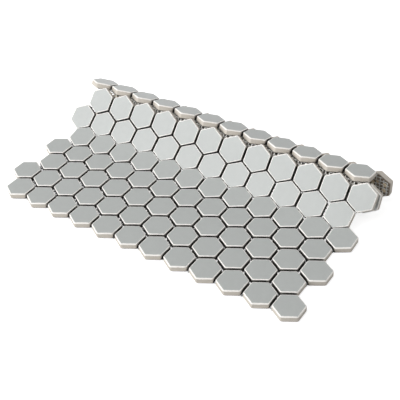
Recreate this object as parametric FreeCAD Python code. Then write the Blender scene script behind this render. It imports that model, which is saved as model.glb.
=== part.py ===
import FreeCAD, Part
import math
import os

# A mosaic sheet of glazed hexagonal tiles on a backing mesh, lying on a level floor.
# Its front rows lie flat and its back rows rise, turn over and curl down into a loose roll.
# Lengths are in millimetres and angles in degrees.

# One tile: a pressed hexagon with clipped corners and a softened face edge
TILE_FLATS = 22.2
TILE_THICKNESS = 5.4
CORNER_CLIP = 0.7
EDGE_DROP = 0.9
EDGE_INSET = 0.8

# The sheet: rows run along X, and each row is set off by half a tile from the one before
JOINT = 2.0
COLUMNS = 12
FLAT_ROWS = 4
MESH_THICKNESS = 0.6

# The curl: how far each rising row closes its fold, at the left end and at the right end,
# as a share of the fold at which the face edges of the two rows almost meet
RISING_FOLDS = [(0.55, 0.22), (0.94, 1.0), (0.29, 0.72)]
EDGE_GAP = 0.2
ROLL_GAP = 0.3
BACK_ROW_TILT = -90.0
BOTTOM_ROW_TILT = -180.0
INNER_ROW_TILT = -295.0

# Sizes and counts that follow
HEX_SIDES = 6
PITCH = TILE_FLATS + JOINT
ROW_PITCH = PITCH * math.cos(math.radians(30))
CORNER_REACH = TILE_FLATS / 2 / math.cos(math.radians(30))
TIP_OVERREACH = CORNER_REACH - ROW_PITCH / 2
RISING_ROWS = len(RISING_FOLDS)
ROLLED_ROWS = 4
ROWS = FLAT_ROWS + RISING_ROWS + ROLLED_ROWS
ROW_LENGTH = (COLUMNS - 1) * PITCH

# Rounds in which the direction at a mesh corner settles between the triangles round it
SETTLING_STEPS = 120

# The mesh is one piece on the real sheet. Here it is parted where the sheet turns over, into
# spans that meet face to face, so that each span stays as thin as the mesh is.
MESH_SPANS = [("mesh_flat_span", FLAT_ROWS), ("mesh_rising_span", RISING_ROWS),
              ("mesh_top_span", 1), ("mesh_back_span", 1), ("mesh_bottom_span", 1),
              ("mesh_inner_span", 1)]

# Corners of a hexagon, numbered from the right one above the row's line, anticlockwise
RIGHT_UPPER, TOP, LEFT_UPPER, LEFT_LOWER, BOTTOM, RIGHT_LOWER = range(HEX_SIDES)


def hexagon(reach):
    """Corners of a hexagon with flats to left and right, in its own plane."""
    angles = [math.radians(30 + 60 * corner) for corner in range(HEX_SIDES)]
    return [FreeCAD.Vector(reach * math.cos(a), reach * math.sin(a), 0) for a in angles]


def clipped_outline(reach, height):
    """Closed wire round a hexagon whose six corners are cut across."""
    corners = hexagon(reach)
    points = []
    for index, corner in enumerate(corners):
        before = corners[index - 1] - corner
        after = corners[(index + 1) % HEX_SIDES] - corner
        for side in (before, after):
            side.normalize()
            points.append(corner + side * CORNER_CLIP + FreeCAD.Vector(0, 0, height))
    return Part.makePolygon(points + points[:1])


def make_tile():
    """One tile with its back on the plane Z = 0 and its face upwards."""
    wall_height = TILE_THICKNESS - EDGE_DROP
    face_reach = CORNER_REACH - EDGE_INSET / math.cos(math.radians(30))
    back = Part.Face(clipped_outline(CORNER_REACH, 0))
    walls = back.extrude(FreeCAD.Vector(0, 0, wall_height))
    shoulder = clipped_outline(CORNER_REACH, wall_height)
    face = clipped_outline(face_reach, TILE_THICKNESS)
    cushion = Part.makeLoft([shoulder, face], True, True)
    return walls.fuse(cushion).removeSplitter()


def fold_limit():
    """Fold at which the shoulders of two rows come within the edge gap of each other."""
    wall_height = TILE_THICKNESS - EDGE_DROP
    half_closing = (JOINT - EDGE_GAP) / 2 / math.cos(math.radians(30))
    return 2 * math.degrees(math.atan2(half_closing, wall_height))


def direction(tilt):
    """Unit vector in the plane X = 0 that rises by the tilt towards the back."""
    return FreeCAD.Vector(0, math.cos(math.radians(tilt)), math.sin(math.radians(tilt)))


def inner_row_tilt(seat, crest, rising_tilt, top_tilt):
    """Tilt of the last row, which leans back inside the roll and stays clear of the mesh there."""
    shoulder_height = TILE_THICKNESS - EDGE_DROP
    reach = ROW_PITCH / 2 + CORNER_REACH - CORNER_CLIP / 2
    span = math.hypot(reach, shoulder_height)
    tip_turn = math.degrees(math.atan2(shoulder_height, reach))
    tilt = INNER_ROW_TILT
    for mesh_tilt in (rising_tilt, top_tilt):
        room = (crest - seat).dot(direction(mesh_tilt + 90)) - MESH_THICKNESS - ROLL_GAP
        if room < span:
            touching = mesh_tilt + math.degrees(math.asin(room / span)) - tip_turn - 360
            tilt = min(tilt, touching)
    return tilt


def row_lines(x):
    """Hinge line and tilt of every row at the place x along the rows."""
    share = x / ROW_LENGTH
    lines = [(FreeCAD.Vector(0, (row - 0.5) * ROW_PITCH, MESH_THICKNESS), 0.0)
             for row in range(FLAT_ROWS)]
    hinge = FreeCAD.Vector(0, (FLAT_ROWS - 0.5) * ROW_PITCH, MESH_THICKNESS)
    tilt = 0.0
    for row, (left, right) in enumerate(RISING_FOLDS):
        tilt += (left + (right - left) * share) * fold_limit()
        if row == 0:
            # the front tips of this row dip below its hinge, so the hinge is lifted by as much
            hinge.z += TIP_OVERREACH * math.sin(math.radians(tilt))
        lines.append((hinge, tilt))
        hinge = hinge + direction(tilt) * ROW_PITCH
    crest = hinge
    # the top row falls until the row behind it can hang upright to the one that lies face down
    fall = crest.z - ROW_PITCH - TILE_THICKNESS
    top_tilt = -math.degrees(math.asin(fall / ROW_PITCH))
    for rolled_tilt in (top_tilt, BACK_ROW_TILT, BOTTOM_ROW_TILT):
        lines.append((hinge, rolled_tilt))
        hinge = hinge + direction(rolled_tilt) * ROW_PITCH
    lines.append((hinge, inner_row_tilt(hinge, crest, tilt, top_tilt)))
    return lines


def column_x(row, column):
    """Centre of a tile along its row; every second row starts half a tile to the left."""
    return (column - 0.5 * (row % 2)) * PITCH


def back_centre(row, x):
    """Middle of the back of a tile of this row at the place x."""
    hinge, tilt = row_lines(x)[row]
    return hinge + direction(tilt) * (ROW_PITCH / 2) + FreeCAD.Vector(x, 0, 0)


def tile_placement(row, column):
    """Placement of a tile: its X axis along the row, its Z axis out of its face."""
    x = column_x(row, column)
    across = direction(row_lines(x)[row][1])
    along = back_centre(row, x + PITCH / 2) - back_centre(row, x - PITCH / 2)
    along.normalize()
    outwards = along.cross(across)
    turn = FreeCAD.Rotation(along, across, outwards, "XZY")
    return FreeCAD.Placement(back_centre(row, x), turn)


def sheet_placements():
    """Placements of all tiles, moved so that the part's box stands centred on the origin."""
    places = {(row, column): tile_placement(row, column)
              for row in range(ROWS) for column in range(COLUMNS)}
    tile = make_tile()
    box = FreeCAD.BoundBox()
    for place in places.values():
        moved = tile.copy()
        moved.Placement = place
        box.add(moved.BoundBox)
    shift = FreeCAD.Vector(-box.Center.x, -box.Center.y, 0)
    for place in places.values():
        place.Base = place.Base + shift
    return places


def make_tile_row(places, row):
    """The tiles of one row, which touch only the mesh."""
    tile = make_tile()
    tiles = []
    for column in range(COLUMNS):
        placed = tile.copy()
        placed.Placement = places[row, column]
        tiles.append(placed)
    return Part.makeCompound(tiles)


def neighbours_behind(row, column):
    """Columns of the two tiles of the next row that touch this tile's back corner."""
    left = column - row % 2
    return left, left + 1


def mesh_patches():
    """Patches of the mesh's upper side, each a loop of tile corners, anticlockwise."""
    patches = []
    for row in range(ROWS):
        for column in range(COLUMNS):
            patches.append([(row, column, corner) for corner in range(HEX_SIDES)])
            right_tile = column + 1 < COLUMNS
            if right_tile:
                patches.append([(row, column, RIGHT_LOWER), (row, column + 1, LEFT_LOWER),
                                (row, column + 1, LEFT_UPPER), (row, column, RIGHT_UPPER)])
            if row + 1 == ROWS:
                continue
            left, right = neighbours_behind(row, column)
            if right < COLUMNS:
                patches.append([(row, column, RIGHT_UPPER), (row + 1, right, BOTTOM),
                                (row + 1, right, LEFT_LOWER), (row, column, TOP)])
            if left >= 0:
                patches.append([(row, column, TOP), (row + 1, left, RIGHT_LOWER),
                                (row + 1, left, BOTTOM), (row, column, LEFT_UPPER)])
            if left >= 0 and right < COLUMNS:
                patches.append([(row, column, TOP), (row + 1, right, LEFT_LOWER),
                                (row + 1, left, RIGHT_LOWER)])
            if right_tile and right < COLUMNS:
                patches.append([(row, column, RIGHT_UPPER), (row, column + 1, LEFT_UPPER),
                                (row + 1, right, BOTTOM)])
    return patches


def split_to_triangles(patch):
    """A fan of triangles over a patch."""
    return [(patch[0], patch[i], patch[i + 1]) for i in range(1, len(patch) - 1)]


def corner_points(places):
    """Back corners of all tiles, by row, column and corner."""
    flat = hexagon(CORNER_REACH)
    return {(row, column, corner): place.multVec(flat[corner])
            for (row, column), place in places.items() for corner in range(HEX_SIDES)}


def middle_direction(directions):
    """Direction that keeps as near as it can to the furthest of these."""
    middle = sum(directions, FreeCAD.Vector()) / len(directions)
    for step in range(1, SETTLING_STEPS):
        furthest = min(directions, key=middle.dot)
        middle = middle + (furthest - middle) / (step + 1)
    middle.normalize()
    return middle


def corner_normals(triangles, points):
    """Outward direction at each corner that stays on the outer side of every triangle there."""
    around = {name: [] for name in points}
    for triangle in triangles:
        a, b, c = (points[name] for name in triangle)
        normal = (b - a).cross(c - a)
        normal.normalize()
        for name in triangle:
            around[name].append(normal)
    return {name: middle_direction(normals) for name, normals in around.items()}


def rim_edges(triangles):
    """Directed edges that belong to one triangle only."""
    edges = {(t[i], t[(i + 1) % 3]) for t in triangles for i in range(3)}
    return sorted(edge for edge in edges if (edge[1], edge[0]) not in edges)


def rim_facets(edge, upper, lower):
    """Two triangles down the mesh's edge, split the same way from either side of a cut."""
    first, second = edge
    if first < second:
        return [[upper[second], upper[first], lower[first]],
                [upper[second], lower[first], lower[second]]]
    return [[upper[second], upper[first], lower[second]],
            [upper[first], lower[first], lower[second]]]


def make_mesh_span(triangles, upper, lower):
    """A thin closed skin: its upper side on the tile backs, its lower side parallel to it."""
    facets = [[upper[name] for name in t] for t in triangles]
    facets += [[lower[name] for name in reversed(t)] for t in triangles]
    for edge in rim_edges(triangles):
        facets += rim_facets(edge, upper, lower)
    faces = [Part.Face(Part.makePolygon(f + f[:1])) for f in facets]
    skin = Part.makeShell(faces)
    skin.sewShape()
    solid = Part.Solid(skin)
    if solid.Volume < 0:
        solid.reverse()
    return solid.removeSplitter()


def make_mesh_spans(places):
    """All spans of the mesh, by name. A joint behind a row belongs to that row's span."""
    upper = corner_points(places)
    patches = mesh_patches()
    triangles = [t for patch in patches for t in split_to_triangles(patch)]
    normals = corner_normals(triangles, upper)
    lower = {name: upper[name] - normals[name] * MESH_THICKNESS for name in upper}
    spans = {}
    first_row = 0
    for name, row_count in MESH_SPANS:
        rows = range(first_row, first_row + row_count)
        own = [t for patch in patches if patch[0][0] in rows for t in split_to_triangles(patch)]
        spans[name] = make_mesh_span(own, upper, lower)
        first_row += row_count
    return spans


def main():
    os.makedirs("parts", exist_ok=True)
    places = sheet_placements()
    for row in range(ROWS):
        make_tile_row(places, row).exportStep("parts/tile_row_%02d.step" % (row + 1))
    for name, span in make_mesh_spans(places).items():
        span.exportStep("parts/%s.step" % name)


main()
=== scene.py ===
import math
import random
from functools import lru_cache

import bmesh
import bpy
import numpy as np
from bpy.props import FloatProperty, FloatVectorProperty, IntProperty, PointerProperty
from mathutils import Matrix, Vector


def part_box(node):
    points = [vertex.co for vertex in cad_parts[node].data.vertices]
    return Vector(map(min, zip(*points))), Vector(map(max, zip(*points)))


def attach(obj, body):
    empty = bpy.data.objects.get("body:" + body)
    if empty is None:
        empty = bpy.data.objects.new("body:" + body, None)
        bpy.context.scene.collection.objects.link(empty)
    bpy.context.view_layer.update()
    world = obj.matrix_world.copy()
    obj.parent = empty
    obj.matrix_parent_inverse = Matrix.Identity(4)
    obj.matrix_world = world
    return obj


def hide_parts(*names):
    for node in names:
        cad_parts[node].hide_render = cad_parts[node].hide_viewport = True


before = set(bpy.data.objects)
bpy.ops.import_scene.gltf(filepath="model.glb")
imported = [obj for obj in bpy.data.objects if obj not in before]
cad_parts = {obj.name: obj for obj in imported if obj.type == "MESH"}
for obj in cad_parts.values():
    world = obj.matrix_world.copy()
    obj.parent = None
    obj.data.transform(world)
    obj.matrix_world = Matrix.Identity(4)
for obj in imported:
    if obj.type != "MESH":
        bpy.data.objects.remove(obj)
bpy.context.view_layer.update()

bl_info = {
    "name": "Mosaic tile sheet",
    "version": (1, 0, 0),
    "blender": (4, 5, 0),
    "location": "View3D > Sidebar > Mosaic sheet",
    "description": "Glazed hexagon tiles on a glass-fibre net, curled up behind, and the studio round them",
    "category": "Object",
}

# Lengths are in metres unless a comment says millimetres
MM = 0.001
TILE_ROWS = sorted(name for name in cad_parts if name.startswith("tile_row_"))
NET_SPANS = sorted(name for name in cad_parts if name.startswith("mesh_"))

# Points nearer than this are one point, and faces that meet at less than this angle are one face
SAME_POINT = MM / 1000
SAME_PLANE = math.radians(1)

# A hexagon, and the directions square to its three pairs of walls, in its own plane
HEX_SIDES = 6
COS_30 = math.cos(math.radians(30))
WALL_DIRECTIONS = np.array([(math.cos(math.radians(a)), math.sin(math.radians(a)))
                            for a in (0, 60, 120)])

# A tile: the steps that round its corners and its face edge, and the widths of the rings that
# keep the shading of those edges off the flat of the face and of the back
CORNER_STEPS = 3
EDGE_STEPS = 5
FACE_RING = 0.2 * MM
BACK_RING = 0.3 * MM
TILE_SMOOTH_ANGLE = math.radians(35)

# Each ring of the crowned face: its size in the ring round it, and its share of the rise
CROWN_RINGS = ((0.75, 0.6), (0.6, 0.4))

# Points within this of a height are at it, and a face whose normal is this upright is level
AT_HEIGHT = MM / 100
UPRIGHT_NORMAL = 0.99

# How far the net is cut back from the outer walls of the sheet. The tiles round a point cover
# it wholly inside that cut, and less and less beyond it.
NET_INSET = 1.2 * MM
WHOLE_COVER = 0.98

# Least total of shares, so that a point far from every tile isn't divided by nothing
LEAST_SHARE = 0.01

# A thread: its sides, and how far a point may stand off a straight run and be left out
THREAD_SIDES = 6
STRAIGHT_WITHIN = MM / 100
THREAD_SMOOTH_ANGLE = math.radians(80)

# A dab of glue starts as a ball of radius 1. With this unevenness it is at most this high.
DAB_UNEVENNESS = 0.12
UNEVEN_BALL_HEIGHT = 2.3
DAB_SHAPES = 3

# What differs from dab to dab: the swing round the tile in degrees, the distance from the
# tile's middle as a share of its width, and how far the dab is stretched each way
DAB_SEED = 4
DAB_SWING = 12
DAB_DISTANCES = (0.22, 0.38)
DAB_STRETCHES = (0.75, 1.25)

# Sizes of the patterns: the glaze's mottling, the drift of its edge, the grit of the bare body,
# the dull patches of the yarn's coating and the clouds in the glue
MOTTLE_SIZE = 4 * MM
DRIFT_SIZE = 5 / 3 * MM
GRIT_SIZE = MM / 3
PATCH_SIZE = 2.5 * MM
CLOUD_SIZE = 20 / 7 * MM

# Most values of a noise lie between these
NOISE_LOW = 0.3
NOISE_HIGH = 0.7

# Heights on a tile, in millimetres: how far under the face the glaze gives out and is gone, how
# far that line waves up or down, and how high up the walls the back's colour is whole and is gone
GLAZE_END = (0.8, 1.15)
GLAZE_WAVE = 0.15
BACK_REACH = (0.02, 0.2)

# Painted shade in the joints, laid as a dark colour: how near other surfaces count as cover from the sky,
# and for each finish the shares of open sky at which the painted shade starts and at which it hides all
PAINTED_SHADE_COLOUR = "#191613"
PAINTED_SHADE_REACH = 6 * MM
PAINTED_SHADE_SAMPLES = 16
PAINTED_SHADE_ON_GLAZE = (0.8, 0.54)
PAINTED_SHADE_ON_WALLS = (0.58, 0.36)
PAINTED_SHADE_ON_YARN = (0.42, 0.26)

# The floor's width, the distances from the object over which it turns white, and how near other
# surfaces count as cover from the sky, with the shares of it at which the glow starts and is full
FLOOR_WIDTH = 12
FLOOR_FADE = (0.5, 1.2)
CONTACT_REACH = 5 * MM
CONTACT_SAMPLES = 8
CONTACT_SKY = (0.05, 0.25)

# How far the softboxes stand from the origin, and for each one the setting of its level, its
# direction from there and its width
SOFTBOX_DISTANCE = 2.0
SOFTBOXES = (("key", (-0.38, -0.5, 0.78), 1.5),
             ("overhead", (0, -0.2, 1), 1.5),
             ("left", (-0.9, -0.25, 0.35), 1.0),
             ("front", (-0.35, -0.9, 0.2), 1.0),
             ("right", (0.75, 0, 0.66), 1.0),
             ("back", (0.2, 1, 0.1), 1.0))

# Where the photograph was taken from: the camera's place from the front row's left corner,
# its height, its turn about the vertical, its tilt above the horizon, its roll and its lens,
# which is in millimetres as the width of its sensor is
CAMERA_OFFSET = (0.465575, -0.342137)
CAMERA_HEIGHT = 0.436048
CAMERA_AZIMUTH = math.radians(36.477)
CAMERA_ELEVATION = math.radians(39.502)
CAMERA_ROLL = math.radians(-3.393)
CAMERA_LENS = 72.83
SENSOR_WIDTH = 36.0


def linear(colour):
    """Linear red, green and blue of an sRGB colour such as #B0B4B2."""
    values = [int(colour[i:i + 2], 16) / 255 for i in (1, 3, 5)]
    return tuple(v / 12.92 if v <= 0.04045 else ((v + 0.055) / 1.055) ** 2.4 for v in values)


def colour_setting(name, description, colour):
    """A colour that the user can change."""
    return FloatVectorProperty(name=name, description=description, default=linear(colour),
                               subtype="COLOR", size=3, min=0, max=1)


def length_setting(name, description, millimetres):
    """A length that the user can change."""
    return FloatProperty(name=name, description=description, default=millimetres * MM,
                         unit="LENGTH", min=0, precision=5)


def level_setting(name, description, level):
    """A light level that the user can change; at 1 in all, white faces under the light are white."""
    return FloatProperty(name=name, description=description, default=level, subtype="FACTOR", min=0, max=2)


class MOSAIC_PG_tiles(bpy.types.PropertyGroup):
    """Sizes and colours of the tiles"""
    corner_round: length_setting("Corner", "How far the upright corners are rounded", 0.95)
    edge_round: length_setting("Face edge", "Radius of the cushion edge round the face", 0.9)
    back_chamfer: length_setting("Back edge", "Chamfer round the back", 0.6)
    crown: length_setting("Crown", "How far the middle of the face stands up", 0.05)
    glaze: colour_setting("Glaze", "Colour of the satin glaze on the face", "#B2B5B3")
    rim: colour_setting("Rim", "Colour where the glaze thins over the edge", "#FAF7F2")
    body: colour_setting("Body", "Colour of the bare porcelain on the walls", "#CCC5BB")
    # The back's colour is set darker than the body's, partly as painted shade
    back: colour_setting("Back", "Colour of the bare back", "#857A6D")


class MOSAIC_PG_net(bpy.types.PropertyGroup):
    """Sizes and colour of the net"""
    # The real threads are about 2.5 mm apart. At the photograph's size such a net blurs to an
    # even grey in the render, so it is drawn as coarse as it needs to show.
    cell: length_setting("Cell", "Distance from thread to thread", 3.2)
    thread_width: length_setting("Thread width", "Width of a thread, which lies flat", 0.78)
    thread_thickness: length_setting("Thread thickness", "Thickness of a thread", 0.22)
    weave: length_setting("Weave", "How far a thread goes over and under the others", 0.15)
    depth: length_setting("Depth", "Middle of the net under the tile backs", 0.27)
    yarn: colour_setting("Yarn", "Colour of the coated glass fibre", "#F1EFEA")


class MOSAIC_PG_glue(bpy.types.PropertyGroup):
    """Sizes and colour of the glue"""
    count: IntProperty(name="Dabs", description="Dabs of glue on each tile", default=6, min=1)
    size: length_setting("Size", "Usual radius of a dab", 1.7)
    thickness: length_setting("Thickness", "Thickness of a dab", 0.54)
    glue: colour_setting("Glue", "Colour of the set glue", "#E2D5BE")


class MOSAIC_PG_stage(bpy.types.PropertyGroup):
    """Light and floor"""
    key: level_setting("Key", "Light of the softbox to the left of the camera", 0.61)
    overhead: level_setting("Overhead", "Light of the softbox above", 0.1)
    left: level_setting("Left", "Light of the low softbox at the left", 0.25)
    front: level_setting("Front", "Light of the low softbox in front", 0.42)
    right: level_setting("Right", "Light of the high softbox at the right", 0.22)
    back: level_setting("Back", "Light of the low softbox behind", 0.18)
    ambient: level_setting("Ambient", "Light from all round", 0.08)
    glow: level_setting("Glow", "How much of the floor's white doesn't depend on the light", 0.78)
    floor: colour_setting("Floor", "Colour of the floor", "#CCCCCC")


class MOSAIC_PG_settings(bpy.types.PropertyGroup):
    """All settings of the mosaic sheet"""
    tiles: PointerProperty(type=MOSAIC_PG_tiles, name="Tiles", description="Sizes and colours of the tiles")
    net: PointerProperty(type=MOSAIC_PG_net, name="Net", description="Sizes and colour of the net")
    glue: PointerProperty(type=MOSAIC_PG_glue, name="Glue", description="Sizes and colour of the glue")
    stage: PointerProperty(type=MOSAIC_PG_stage, name="Stage", description="Light and floor")


def select_only(*objects):
    """Selects these objects and nothing else, and makes the first one active."""
    bpy.ops.object.select_all(action="DESELECT")
    for obj in objects:
        obj.select_set(True)
    bpy.context.view_layer.objects.active = objects[0]


def link_new(name, data):
    """A new object at the origin with this data, in the scene."""
    obj = bpy.data.objects.new(name, data)
    bpy.context.scene.collection.objects.link(obj)
    return obj


def select_parts(obj, kind, wanted):
    """In edit mode, selects the edges or faces that pass the test, and nothing else."""
    bpy.ops.mesh.select_mode(type={"edges": "EDGE", "faces": "FACE"}[kind])
    bpy.ops.mesh.select_all(action="DESELECT")
    mesh = bmesh.from_edit_mesh(obj.data)
    for part in getattr(mesh, kind):
        part.select_set(wanted(part))
    bmesh.update_edit_mesh(obj.data)


def separate_tiles(node):
    """The tiles of a row as separate objects with flat faces whole, from left to right."""
    row = link_new("row_copy", node.data.copy())
    select_only(row)
    bpy.ops.object.mode_set(mode="EDIT")
    bpy.ops.mesh.select_all(action="SELECT")
    bpy.ops.mesh.remove_doubles(threshold=SAME_POINT)
    bpy.ops.mesh.dissolve_limited(angle_limit=SAME_PLANE)
    bpy.ops.mesh.separate(type="LOOSE")
    bpy.ops.object.mode_set(mode="OBJECT")
    return sorted(bpy.context.selected_objects, key=lambda o: o.data.vertices[0].co.x)


def place_of_tile(tile):
    """Place of a tile: its origin in the middle of its back, its Z axis out of its face."""
    faces = tile.data.polygons
    back = max(faces, key=lambda face: face.area)

    def rightness(face):
        """Greatest for the wall that faces most to the right."""
        return face.area * face.normal.x * (1 - abs(face.normal.dot(back.normal)))

    right_wall = max(faces, key=rightness)
    outwards = -back.normal
    along = right_wall.normal - outwards * right_wall.normal.dot(outwards)
    along.normalize()
    place = Matrix((along, outwards.cross(along), outwards)).transposed().to_4x4()
    place.translation = back.center
    return place


@lru_cache(maxsize=None)
def tile_places():
    """Place of every tile: the rows from the front, each from left to right."""
    rows = []
    for name in TILE_ROWS:
        tiles = separate_tiles(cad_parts[name])
        rows.append([place_of_tile(tile) for tile in tiles])
        for tile in tiles:
            bpy.data.objects.remove(tile)
    return rows


@lru_cache(maxsize=None)
def tile_size():
    """Distance from tile to tile, distance across the flats of one, and its thickness."""
    front = tile_places()[0]
    low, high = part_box(TILE_ROWS[0])
    pitch = (front[1].translation - front[0].translation).length
    flats = high.x - low.x - pitch * (len(front) - 1)
    return pitch, flats, high.z - low.z


@lru_cache(maxsize=None)
def flat_centres():
    """Middle of every tile on the sheet as it was before it was curled."""
    pitch = tile_size()[0]
    rows = tile_places()
    stagger = rows[1][0].translation.x - rows[0][0].translation.x
    return np.array([(column * pitch + stagger * (row % 2), row * pitch * COS_30)
                     for row, places in enumerate(rows) for column in range(len(places))])


def beyond_walls(points, flats):
    """How far points in a tile's plane lie beyond its walls; negative inside them."""
    return np.abs(points @ WALL_DIRECTIONS.T).max(axis=-1) - flats / 2


def lay_on_sheet(points, depths):
    """Where the curled sheet holds points of the flat one, each at its depth under the tile backs.

    A point under a tile keeps its place on that tile. One in a joint lies between the places
    that the tiles beside it would give it. The second result says which points lie inside the
    net's cut edge."""
    pitch, flats, _ = tile_size()
    joint = pitch - flats
    places = np.array([place for row in tile_places() for place in row])
    offsets = points[:, None, :] - flat_centres()
    beyond = beyond_walls(offsets, flats)
    shares = np.clip(1 - beyond / joint, 0, 1)
    cover = np.clip(1 - (beyond + NET_INSET) / (joint + 2 * NET_INSET), 0, 1).sum(axis=1)
    below = np.broadcast_to(-depths[:, None, None], offsets.shape[:2] + (1,))
    on_tiles = np.concatenate([offsets, below], axis=2)
    laid = np.einsum("tij,ptj->pti", places[:, :3, :3], on_tiles) + places[:, :3, 3]
    total = np.maximum(shares.sum(axis=1), LEAST_SHARE)
    return (laid * shares[..., None]).sum(axis=1) / total[:, None], cover > WHOLE_COVER


def model_tile(settings):
    """One tile with its back on Z = 0, its face upwards and its flats to left and right."""
    _, flats, thickness = tile_size()
    height = thickness - settings.crown
    bpy.ops.object.select_all(action="DESELECT")
    bpy.ops.mesh.primitive_cylinder_add(vertices=HEX_SIDES, radius=flats / 2 / COS_30, depth=height)
    tile = bpy.context.object
    bpy.ops.object.mode_set(mode="EDIT")

    def is_corner(edge):
        return abs(edge.verts[0].co.z - edge.verts[1].co.z) > height / 2

    def rim_at(level):
        return lambda edge: all(abs(v.co.z - level) < AT_HEIGHT for v in edge.verts)

    def flat_on(side):
        return lambda face: face.normal.z * side > UPRIGHT_NORMAL and face.calc_area() > flats * flats / 2

    # The die rounds the six upright corners, and the glaze edge is a soft cushion
    select_parts(tile, "edges", is_corner)
    bpy.ops.mesh.bevel(offset=settings.corner_round, segments=CORNER_STEPS, affect="EDGES")
    select_parts(tile, "edges", rim_at(height / 2))
    bpy.ops.mesh.bevel(offset=settings.edge_round, segments=EDGE_STEPS, affect="EDGES")
    select_parts(tile, "edges", rim_at(-height / 2))
    bpy.ops.mesh.bevel(offset=settings.back_chamfer, segments=1, affect="EDGES")

    # A narrow ring keeps the cushion's curve off the face, whose middle then rises a little
    select_parts(tile, "faces", flat_on(1))
    bpy.ops.mesh.inset(thickness=FACE_RING)
    for size, rise in CROWN_RINGS:
        bpy.ops.mesh.extrude_region_move()
        bpy.ops.transform.resize(value=(size, size, 1), center_override=(0, 0, 0))
        bpy.ops.transform.translate(value=(0, 0, settings.crown * rise))
    # A ring on the back keeps the chamfer's shading off it
    select_parts(tile, "faces", flat_on(-1))
    bpy.ops.mesh.inset(thickness=BACK_RING)
    bpy.ops.object.mode_set(mode="OBJECT")
    tile.data.transform(Matrix.Translation((0, 0, height / 2)))
    bpy.ops.object.shade_smooth_by_angle(angle=TILE_SMOOTH_ANGLE)
    return tile


def mark_tile(tile):
    """Stores each point's place on the tile and its distance from the walls, both in millimetres."""
    flats = tile_size()[1]
    mesh = tile.data
    points = np.zeros(len(mesh.vertices) * 3)
    mesh.vertices.foreach_get("co", points)
    inwards = -beyond_walls(points.reshape(-1, 3)[:, :2], flats)
    place = mesh.attributes.new("tile_place", "FLOAT_VECTOR", "POINT")
    place.data.foreach_set("vector", points / MM)
    edge = mesh.attributes.new("edge_distance", "FLOAT", "POINT")
    edge.data.foreach_set("value", inwards / MM)


def number_mesh(mesh, number):
    """Gives all points of a mesh the tile's number, which sets its own shade and mottling."""
    attribute = mesh.attributes.new("tile_number", "FLOAT", "POINT")
    attribute.data.foreach_set("value", np.full(len(mesh.vertices), number, dtype=np.float32))


def join_copies(name, copies):
    """Joins meshes, each at its place, into one piece at the origin."""
    objects = [link_new(name, mesh) for mesh in copies]
    select_only(*objects)
    bpy.ops.object.join()
    objects[0].name = name
    return objects[0]


def dress(piece, material, slot, *nodes):
    """Gives a piece its finish, hangs it under the root and hides the parts it stands in for."""
    piece.data.materials.clear()
    piece.data.materials.append(material)
    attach(piece, "root")
    if nodes:
        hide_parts(*nodes)


def find_socket(sockets, key):
    """A socket by its identifier or its name."""
    return next(s for s in sockets if key in (s.identifier, s.name))


def add_node(tree, kind, inputs=None, **settings):
    """Adds a node with its settings; an input is a value, or a node and the name of its output."""
    node = tree.nodes.new(kind)
    for name, value in settings.items():
        setattr(node, name, value)
    for key, value in (inputs or {}).items():
        socket = find_socket(node.inputs, key)
        if isinstance(value, tuple) and isinstance(value[0], bpy.types.Node):
            tree.links.new(find_socket(value[0].outputs, value[1]), socket)
        else:
            socket.default_value = value
    return node


def new_material(name):
    """An empty node material and its output."""
    material = bpy.data.materials.new(name)
    material.use_nodes = True
    material.node_tree.nodes.clear()
    output = material.node_tree.nodes.new("ShaderNodeOutputMaterial")
    return material, material.node_tree, output


def rgba(colour):
    """A colour with full opacity."""
    return tuple(colour) + (1.0,)


def add_painted_shade(tree, colour, start, end):
    """A node that gives the colour with a dark painted shade laid over it where hardly any sky is seen.

    The painted shade starts where this share of the sky is open, and hides all at the lower share."""
    sky = add_node(tree, "ShaderNodeAmbientOcclusion", {"Distance": PAINTED_SHADE_REACH}, samples=PAINTED_SHADE_SAMPLES)
    in_shade = add_node(tree, "ShaderNodeMapRange",
                     {"Value": (sky, "AO"), "From Min": start, "From Max": end},
                     interpolation_type="SMOOTHSTEP")
    return add_node(tree, "ShaderNodeMix",
                    {"Factor_Float": (in_shade, "Result"), "A_Color": colour,
                     "B_Color": rgba(linear(PAINTED_SHADE_COLOUR))}, data_type="RGBA")


def glaze_colour(tree, settings, mottle, drift):
    """The glaze: an even grey, a shade lighter or darker in places, and pale near the walls."""
    shade = add_node(tree, "ShaderNodeMapRange",
                     {"Value": (mottle, "Fac"), "From Min": NOISE_LOW, "From Max": NOISE_HIGH,
                      "To Min": 0.985, "To Max": 1.015}, interpolation_type="SMOOTHSTEP")
    grey = add_node(tree, "ShaderNodeVectorMath",
                    {"Vector": tuple(settings.glaze), "Scale": (shade, "Result")}, operation="SCALE")
    # The pale rim is about a millimetre wide and uneven
    edge = add_node(tree, "ShaderNodeAttribute", attribute_name="edge_distance")
    rim_width = add_node(tree, "ShaderNodeMapRange",
                         {"Value": (drift, "Fac"), "From Min": NOISE_LOW, "From Max": NOISE_HIGH,
                          "To Min": 0.85, "To Max": 1.15}, interpolation_type="SMOOTHSTEP")
    inwards = add_node(tree, "ShaderNodeMath",
                       {"Value": (edge, "Fac"), "Value_001": (rim_width, "Result")}, operation="DIVIDE")
    rim = add_node(tree, "ShaderNodeMapRange",
                   {"Value": (inwards, "Value"), "From Min": 1.0, "From Max": 0.65},
                   interpolation_type="SMOOTHSTEP")
    return add_node(tree, "ShaderNodeMix",
                    {"Factor_Float": (rim, "Result"), "A_Color": (grey, "Vector"),
                     "B_Color": rgba(settings.rim)}, data_type="RGBA")


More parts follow.
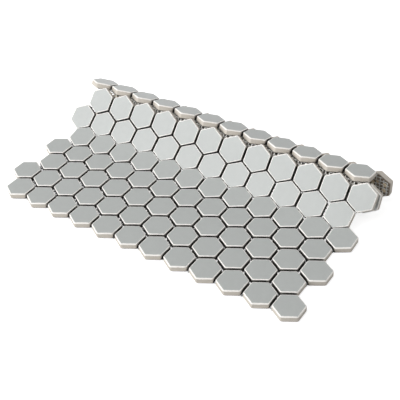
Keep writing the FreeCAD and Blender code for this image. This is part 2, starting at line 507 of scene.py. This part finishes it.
def body_colour(tree, settings, heights, grit):
    """The bare body: cream on the walls and darker on the back, partly as painted shade, with fine specks.
    """
    whole, gone = BACK_REACH
    at_back = add_node(tree, "ShaderNodeMapRange",
                       {"Value": (heights, "Z"), "From Min": gone, "From Max": whole},
                       interpolation_type="SMOOTHSTEP")
    body = add_node(tree, "ShaderNodeMix",
                    {"Factor_Float": (at_back, "Result"), "A_Color": rgba(settings.body),
                     "B_Color": rgba(settings.back)}, data_type="RGBA")
    speck = add_node(tree, "ShaderNodeMapRange",
                     {"Value": (grit, "Fac"), "From Min": 0.25, "From Max": 0.75,
                      "To Min": 0.9, "To Max": 1.08}, interpolation_type="SMOOTHSTEP")
    return add_node(tree, "ShaderNodeVectorMath",
                    {"Vector": (body, "Result_Color"), "Scale": (speck, "Result")}, operation="SCALE")


def bare_share(tree, heights, drift):
    """A node that is 0 on the glaze and 1 on the bare wall under the wavy line where it ends."""
    thickness = tile_size()[2] / MM
    fading, gone = GLAZE_END
    wave = add_node(tree, "ShaderNodeMapRange",
                    {"Value": (drift, "Fac"), "From Min": NOISE_LOW, "From Max": NOISE_HIGH,
                     "To Min": -GLAZE_WAVE, "To Max": GLAZE_WAVE}, interpolation_type="SMOOTHSTEP")
    height = add_node(tree, "ShaderNodeMath",
                      {"Value": (heights, "Z"), "Value_001": (wave, "Result")}, operation="ADD")
    return add_node(tree, "ShaderNodeMapRange",
                    {"Value": (height, "Value"), "From Min": thickness - fading,
                     "From Max": thickness - gone}, interpolation_type="SMOOTHSTEP")


def porcelain_material(settings):
    """Dust-pressed porcelain under a dipped satin glaze.

    The face is an even soft grey, pale where the glaze thins over the cushion edge. The bare
    body is dry and cream on the walls and darker on the back, partly as painted shade."""
    material, tree, output = new_material("satin_glazed_porcelain")
    place = add_node(tree, "ShaderNodeAttribute", attribute_name="tile_place")
    number = add_node(tree, "ShaderNodeAttribute", attribute_name="tile_number")
    heights = add_node(tree, "ShaderNodeSeparateXYZ", {"Vector": (place, "Vector")})

    # The patterns follow each tile and differ from one to the next
    on_tile = {"Vector": (place, "Vector"), "W": (number, "Fac")}
    mottle = add_node(tree, "ShaderNodeTexNoise", {**on_tile, "Scale": MM / MOTTLE_SIZE, "Detail": 5.0},
                      noise_dimensions="4D")
    drift = add_node(tree, "ShaderNodeTexNoise", {**on_tile, "Scale": MM / DRIFT_SIZE, "Detail": 2.0},
                     noise_dimensions="4D")
    grit = add_node(tree, "ShaderNodeTexNoise", {**on_tile, "Scale": MM / GRIT_SIZE, "Detail": 3.0},
                    noise_dimensions="4D")

    glazed = glaze_colour(tree, settings, mottle, drift)
    dry = body_colour(tree, settings, heights, grit)
    bare = bare_share(tree, heights, drift)
    coated = add_node(tree, "ShaderNodeMix",
                      {"Factor_Float": (bare, "Result"), "A_Color": (glazed, "Result_Color"),
                       "B_Color": (dry, "Vector")}, data_type="RGBA")

    # Painted shade comes higher on the rounded glaze than on the bare wall under it
    shade_start, shade_end = (
        add_node(tree, "ShaderNodeMapRange",
                 {"Value": (bare, "Result"), "To Min": on_glaze, "To Max": on_wall},
                 interpolation_type="SMOOTHSTEP")
        for on_glaze, on_wall in zip(PAINTED_SHADE_ON_GLAZE, PAINTED_SHADE_ON_WALLS))
    colour = add_painted_shade(tree, (coated, "Result_Color"), (shade_start, "Result"), (shade_end, "Result"))

    # The glaze has a satin gloss and faint hollows, and the body is dull and gritty
    roughness = add_node(tree, "ShaderNodeMapRange",
                         {"Value": (bare, "Result"), "To Min": 0.3, "To Max": 0.8},
                         interpolation_type="SMOOTHSTEP")
    relief = add_node(tree, "ShaderNodeMix",
                      {"Factor_Float": (bare, "Result"), "A_Float": (mottle, "Fac"),
                       "B_Float": (grit, "Fac")}, data_type="FLOAT")
    bump = add_node(tree, "ShaderNodeBump",
                    {"Height": (relief, "Result_Float"), "Strength": 0.15, "Distance": 0.1 * MM})
    surface = add_node(tree, "ShaderNodeBsdfPrincipled",
                       {"Base Color": (colour, "Result_Color"), "Roughness": (roughness, "Result"),
                        "Normal": (bump, "Normal"), "IOR": 1.5})
    tree.links.new(surface.outputs["BSDF"], output.inputs["Surface"])
    return material


def yarn_material(settings):
    """Twisted glass-fibre yarn in a clear coating: off-white, a little glossy, with dull patches."""
    material, tree, output = new_material("coated_glass_fibre_yarn")
    coordinates = add_node(tree, "ShaderNodeTexCoord")
    patches = add_node(tree, "ShaderNodeTexNoise",
                       {"Vector": (coordinates, "Object"), "Scale": 1 / PATCH_SIZE, "Detail": 2.0})
    dull = add_node(tree, "ShaderNodeMapRange",
                    {"Value": (patches, "Fac"), "From Min": 0.35, "From Max": 0.75},
                    interpolation_type="SMOOTHSTEP")
    duller = tuple(c * 0.78 for c in settings.yarn)
    clean = add_node(tree, "ShaderNodeMix",
                     {"Factor_Float": (dull, "Result"), "A_Color": rgba(settings.yarn),
                      "B_Color": rgba(duller)}, data_type="RGBA")
    # Painted shade darkens the yarn where little sky is open, deep in the joints
    colour = add_painted_shade(tree, (clean, "Result_Color"), *PAINTED_SHADE_ON_YARN)
    roughness = add_node(tree, "ShaderNodeMapRange",
                         {"Value": (dull, "Result"), "To Min": 0.38, "To Max": 0.6},
                         interpolation_type="SMOOTHSTEP")
    bump = add_node(tree, "ShaderNodeBump",
                    {"Height": (patches, "Fac"), "Strength": 0.3, "Distance": 0.1 * MM})
    surface = add_node(tree, "ShaderNodeBsdfPrincipled",
                       {"Base Color": (colour, "Result_Color"), "Roughness": (roughness, "Result"),
                        "Normal": (bump, "Normal"), "IOR": 1.52})
    tree.links.new(surface.outputs["BSDF"], output.inputs["Surface"])
    return material


def glue_material(settings):
    """Mosaic glue set hard: a cream skin with browner, thicker middles and a soft gloss."""
    material, tree, output = new_material("set_mosaic_glue")
    coordinates = add_node(tree, "ShaderNodeTexCoord")
    clouds = add_node(tree, "ShaderNodeTexNoise",
                      {"Vector": (coordinates, "Object"), "Scale": 1 / CLOUD_SIZE, "Detail": 3.0})
    thick = add_node(tree, "ShaderNodeMapRange",
                     {"Value": (clouds, "Fac"), "From Min": 0.35, "From Max": 0.7},
                     interpolation_type="SMOOTHSTEP")
    red, green, blue = settings.glue
    browner = (red * 0.8, green * 0.72, blue * 0.62)
    colour = add_node(tree, "ShaderNodeMix",
                      {"Factor_Float": (thick, "Result"), "A_Color": rgba(settings.glue),
                       "B_Color": rgba(browner)}, data_type="RGBA")
    bump = add_node(tree, "ShaderNodeBump",
                    {"Height": (clouds, "Fac"), "Strength": 0.4, "Distance": 0.2 * MM})
    surface = add_node(tree, "ShaderNodeBsdfPrincipled",
                       {"Base Color": (colour, "Result_Color"), "Roughness": 0.45,
                        "Normal": (bump, "Normal"), "IOR": 1.47})
    tree.links.new(surface.outputs["BSDF"], output.inputs["Surface"])
    return material


def runs_of(held):
    """Start and end of each stretch of points that the sheet holds."""
    edges = np.flatnonzero(np.diff(np.concatenate([[False], held, [False]]).astype(int)))
    return [(start, end) for start, end in zip(edges[::2], edges[1::2]) if end - start > 1]


def bends_of(points):
    """Indices of a line's ends and of the points where it bends, the straight ones left out."""
    chord_middles = (points[:-2] + points[2:]) / 2
    bent = np.linalg.norm(points[1:-1] - chord_middles, axis=1) > STRAIGHT_WITHIN
    return np.flatnonzero(np.concatenate([[True], bent, [True]]))


def tube_faces(rings, sides, first):
    """Faces of a closed tube whose rings of points follow on from the first one's number."""
    faces = [tuple(range(first, first + sides)),
             tuple(range(first + rings * sides - 1, first + (rings - 1) * sides - 1, -1))]
    for ring in range(rings - 1):
        start = first + ring * sides
        for side in range(sides):
            following = (side + 1) % sides
            faces.append((start + side, start + sides + side, start + sides + following, start + following))
    return faces


def new_tubes(name, points, faces):
    """A new object of closed tubes, with all their faces outwards and smooth round the tube."""
    mesh = bpy.data.meshes.new(name)
    mesh.from_pydata(points, [], faces)
    tubes = link_new(name, mesh)
    select_only(tubes)
    bpy.ops.object.mode_set(mode="EDIT")
    bpy.ops.mesh.select_all(action="SELECT")
    bpy.ops.mesh.normals_make_consistent(inside=False)
    bpy.ops.object.mode_set(mode="OBJECT")
    bpy.ops.object.shade_smooth_by_angle(angle=THREAD_SMOOTH_ANGLE)
    return tubes


def make_threads(name, settings, running):
    """All threads that run one way of the net: 0 along the rows, 1 across them."""
    corner_reach = tile_size()[1] / 2 / COS_30
    low = flat_centres().min(axis=0) - corner_reach
    high = flat_centres().max(axis=0) + corner_reach
    half_cell = settings.cell / 2
    turns = np.arange(THREAD_SIDES) * math.tau / THREAD_SIDES
    aside = settings.thread_width / 2 * np.cos(turns)
    down = settings.thread_thickness / 2 * np.sin(turns)
    steps = np.arange(int((high - low)[running] / half_cell))
    points, faces = [], []
    for thread in range(int((high - low)[1 - running] / settings.cell)):
        line = np.zeros((len(steps), 2))
        line[:, running] = low[running] + steps * half_cell
        line[:, 1 - running] = low[1 - running] + (2 * thread + 1) * half_cell
        # The thread crosses another at every second step, over one and under the next
        over = (steps % 2) * (-1.0) ** (thread + steps // 2 + running)
        depths = settings.depth - over * settings.weave
        middle, held = lay_on_sheet(line, depths)
        for start, end in runs_of(held):
            kept = start + bends_of(middle[start:end])
            ring = np.repeat(line[kept], THREAD_SIDES, axis=0)
            ring[:, 1 - running] += np.tile(aside, len(kept))
            deep = np.repeat(depths[kept], THREAD_SIDES) + np.tile(down, len(kept))
            faces += tube_faces(len(kept), THREAD_SIDES, sum(map(len, points)))
            points.append(lay_on_sheet(ring, deep)[0])
    return new_tubes(name, np.concatenate(points).tolist(), faces)


def model_dab(settings, seed):
    """One flattened, uneven dab of glue."""
    bpy.ops.object.select_all(action="DESELECT")
    bpy.ops.mesh.primitive_ico_sphere_add(subdivisions=2, radius=1)
    dab = bpy.context.object
    bpy.ops.object.mode_set(mode="EDIT")
    bpy.ops.mesh.select_all(action="SELECT")
    bpy.ops.transform.vertex_random(offset=DAB_UNEVENNESS, seed=seed)
    bpy.ops.object.mode_set(mode="OBJECT")
    flattened = settings.thickness / UNEVEN_BALL_HEIGHT
    dab.data.transform(Matrix.Diagonal((settings.size, settings.size, flattened, 1)))
    bpy.ops.object.shade_smooth()
    return dab


def copy_dab(settings, shapes, chance, tile, degrees):
    """A copy of one of the dabs, laid by chance under a tile near this many degrees round it."""
    angle = math.radians(degrees + chance.uniform(-DAB_SWING, DAB_SWING))
    reach = tile_size()[1] * chance.uniform(*DAB_DISTANCES)
    spot = Vector((reach * math.cos(angle), reach * math.sin(angle), -settings.thickness / 2))
    mesh = chance.choice(shapes).data.copy()
    stretches = [chance.uniform(*DAB_STRETCHES) for _ in range(2)]
    stretch = Matrix.Diagonal((*stretches, 1, 1))
    turn = Matrix.Rotation(chance.uniform(0, math.tau), 4, "Z")
    mesh.transform(tile @ Matrix.Translation(spot) @ turn @ stretch)
    return mesh


class MOSAIC_OT_tile_rows(bpy.types.Operator):
    """Model one tile and lay a copy of it on every tile of the sheet, a row at a time"""
    bl_idname = "mosaic.tile_rows"
    bl_label = "Tile rows"

    def execute(self, context):
        settings = context.scene.mosaic.tiles
        tile = model_tile(settings)
        mark_tile(tile)
        material = porcelain_material(settings)
        number = 0
        for name, places in zip(TILE_ROWS, tile_places()):
            copies = []
            for place in places:
                mesh = tile.data.copy()
                mesh.transform(place)
                number_mesh(mesh, number)
                copies.append(mesh)
                number += 1
            row = join_copies(name.replace("tile", "glazed"), copies)
            dress(row, material, "glazed_porcelain", name)
        bpy.data.objects.remove(tile)
        return {"FINISHED"}


class MOSAIC_OT_net(bpy.types.Operator):
    """Weave the glass-fibre net under the tiles, through every fold of the sheet"""
    bl_idname = "mosaic.net"
    bl_label = "Net"

    def execute(self, context):
        settings = context.scene.mosaic.net
        material = yarn_material(settings)
        dress(make_threads("net_weft", settings, 0), material, "glass_fibre_mesh", *NET_SPANS)
        dress(make_threads("net_warp", settings, 1), material, "glass_fibre_mesh", *NET_SPANS)
        return {"FINISHED"}


class MOSAIC_OT_glue(bpy.types.Operator):
    """Put dabs of glue on the back of every tile, where they hold the net"""
    bl_idname = "mosaic.glue"
    bl_label = "Glue dabs"

    def execute(self, context):
        settings = context.scene.mosaic.glue
        chance = random.Random(DAB_SEED)
        shapes = [model_dab(settings, seed) for seed in range(DAB_SHAPES)]
        copies = []
        for tile in (place for row in tile_places() for place in row):
            start = chance.uniform(0, 360)
            for dab in range(settings.count):
                degrees = start + dab * 360 / settings.count
                copies.append(copy_dab(settings, shapes, chance, tile, degrees))
        glue = join_copies("glue_dabs", copies)
        dress(glue, glue_material(settings), "glass_fibre_mesh")
        for shape in shapes:
            bpy.data.objects.remove(shape)
        return {"FINISHED"}


def add_softbox(name, direction, size, level):
    """A square softbox that faces the object and lights white faces turned to it to this level."""
    towards = Vector(direction).normalized()
    radiance = level * math.pi * SOFTBOX_DISTANCE ** 2 / size ** 2
    lamp = bpy.data.lights.new(name, "AREA")
    lamp.shape = "SQUARE"
    lamp.size = size
    lamp.energy = radiance * math.pi * size ** 2
    obj = link_new(name, lamp)
    obj.matrix_world = (-towards).to_track_quat("-Z", "Y").to_matrix().to_4x4()
    obj.location = towards * SOFTBOX_DISTANCE


def seen_directly(tree):
    """A node that is 1 for what the camera sees, directly, in a gloss or through glass."""
    path = add_node(tree, "ShaderNodeLightPath")
    seen = add_node(tree, "ShaderNodeMath",
                    {"Value": (path, "Is Camera Ray"), "Value_001": (path, "Is Glossy Ray")},
                    operation="MAXIMUM")
    return add_node(tree, "ShaderNodeMath",
                    {"Value": (seen, "Value"), "Value_001": (path, "Is Transmission Ray")},
                    operation="MAXIMUM")


def make_world(ambient):
    """A white backdrop, which lights the object at the ambient level only."""
    world = bpy.data.worlds.new("studio")
    world.use_nodes = True
    tree = world.node_tree
    tree.nodes.clear()
    level = add_node(tree, "ShaderNodeMapRange",
                     {"Value": (seen_directly(tree), "Value"), "To Min": ambient, "To Max": 1.0},
                     interpolation_type="SMOOTHSTEP")
    light = add_node(tree, "ShaderNodeBackground", {"Color": (1, 1, 1, 1), "Strength": (level, "Result")})
    output = tree.nodes.new("ShaderNodeOutputWorld")
    tree.links.new(light.outputs["Background"], output.inputs["Surface"])
    return world


def floor_material(settings):
    """Matt pale board that looks white away from the object and keeps the object's shadow."""
    material, tree, output = new_material("pale_board")
    board = add_node(tree, "ShaderNodeBsdfDiffuse", {"Color": rgba(settings.floor)})
    place = add_node(tree, "ShaderNodeTexCoord")
    away = add_node(tree, "ShaderNodeVectorMath", {"Vector": (place, "Object")}, operation="LENGTH")
    fade_start, fade_end = FLOOR_FADE
    full = add_node(tree, "ShaderNodeMapRange",
                    {"Value": (away, "Value"), "From Min": fade_start, "From Max": fade_end,
                     "To Min": settings.glow, "To Max": 1.0}, interpolation_type="SMOOTHSTEP")
    # Close under the object the board doesn't glow, so the shadow stays where they touch; this fading of
    # the glow where other surfaces cover the sky is painted shade
    sky = add_node(tree, "ShaderNodeAmbientOcclusion", {"Distance": CONTACT_REACH}, samples=CONTACT_SAMPLES)
    covered, in_the_open = CONTACT_SKY
    open_air = add_node(tree, "ShaderNodeMapRange",
                        {"Value": (sky, "AO"), "From Min": covered, "From Max": in_the_open,
                         "To Min": 0.0, "To Max": (full, "Result")}, interpolation_type="SMOOTHSTEP")
    strength = add_node(tree, "ShaderNodeMath",
                        {"Value": (open_air, "Result"), "Value_001": (seen_directly(tree), "Value")},
                        operation="MULTIPLY")
    white = add_node(tree, "ShaderNodeEmission", {"Strength": (strength, "Value")})
    both = add_node(tree, "ShaderNodeAddShader",
                    {"Shader": (board, "BSDF"), "Shader_001": (white, "Emission")})
    tree.links.new(both.outputs["Shader"], output.inputs["Surface"])
    return material


def add_camera():
    """The camera at the photograph's place and angle."""
    azimuth, elevation, roll = CAMERA_AZIMUTH, CAMERA_ELEVATION, CAMERA_ROLL
    back = Vector((math.sin(azimuth) * math.cos(elevation), -math.cos(azimuth) * math.cos(elevation),
                   math.sin(elevation)))
    level = Vector((math.cos(azimuth), math.sin(azimuth), 0))
    upright = back.cross(level)
    right = level * math.cos(roll) + upright * math.sin(roll)
    data = bpy.data.cameras.new("camera")
    data.sensor_width = SENSOR_WIDTH
    data.lens = CAMERA_LENS
    camera = link_new("camera", data)
    camera.matrix_world = Matrix((right, back.cross(right), back)).transposed().to_4x4()
    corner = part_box(TILE_ROWS[0])[0]
    camera.location = (corner.x + CAMERA_OFFSET[0], corner.y + CAMERA_OFFSET[1], CAMERA_HEIGHT)
    bpy.context.scene.camera = camera


class MOSAIC_OT_stage(bpy.types.Operator):
    """Set up the pale floor, the white surroundings, the six softboxes and the camera"""
    bl_idname = "mosaic.stage"
    bl_label = "Stage"

    def execute(self, context):
        settings = context.scene.mosaic.stage
        bpy.ops.object.select_all(action="DESELECT")
        bpy.ops.mesh.primitive_plane_add(size=FLOOR_WIDTH)
        floor = context.object
        floor.name = "floor"
        floor.data.materials.append(floor_material(settings))
        context.scene.world = make_world(settings.ambient)
        for name, direction, size in SOFTBOXES:
            add_softbox(name + "_softbox", direction, size, getattr(settings, name))
        add_camera()
        context.scene.view_settings.view_transform = "Standard"
        return {"FINISHED"}


class MOSAIC_PT_panel(bpy.types.Panel):
    """Settings and steps of the mosaic sheet"""
    bl_idname = "MOSAIC_PT_panel"
    bl_label = "Mosaic sheet"
    bl_space_type = "VIEW_3D"
    bl_region_type = "UI"
    bl_category = "Mosaic sheet"

    def draw(self, context):
        for group, operator in STEPS:
            box = self.layout.box()
            settings = getattr(context.scene.mosaic, group)
            for name in settings.__annotations__:
                box.prop(settings, name)
            box.operator(operator)


# Each step's group of settings and its operator, in the order in which they run
STEPS = (("stage", "mosaic.stage"), ("tiles", "mosaic.tile_rows"),
         ("net", "mosaic.net"), ("glue", "mosaic.glue"))

CLASSES = (MOSAIC_PG_tiles, MOSAIC_PG_net, MOSAIC_PG_glue, MOSAIC_PG_stage, MOSAIC_PG_settings,
           MOSAIC_OT_tile_rows, MOSAIC_OT_net, MOSAIC_OT_glue, MOSAIC_OT_stage, MOSAIC_PT_panel)


def register():
    """Adds the classes, and the settings to every scene."""
    for cls in CLASSES:
        bpy.utils.register_class(cls)
    bpy.types.Scene.mosaic = PointerProperty(type=MOSAIC_PG_settings)


def unregister():
    """Takes the settings and the classes away again."""
    del bpy.types.Scene.mosaic
    for cls in reversed(CLASSES):
        bpy.utils.unregister_class(cls)


def main():
    register()
    bpy.ops.mosaic.stage()
    bpy.ops.mosaic.tile_rows()
    bpy.ops.mosaic.net()
    bpy.ops.mosaic.glue()


if __name__ == "__main__":
    main()
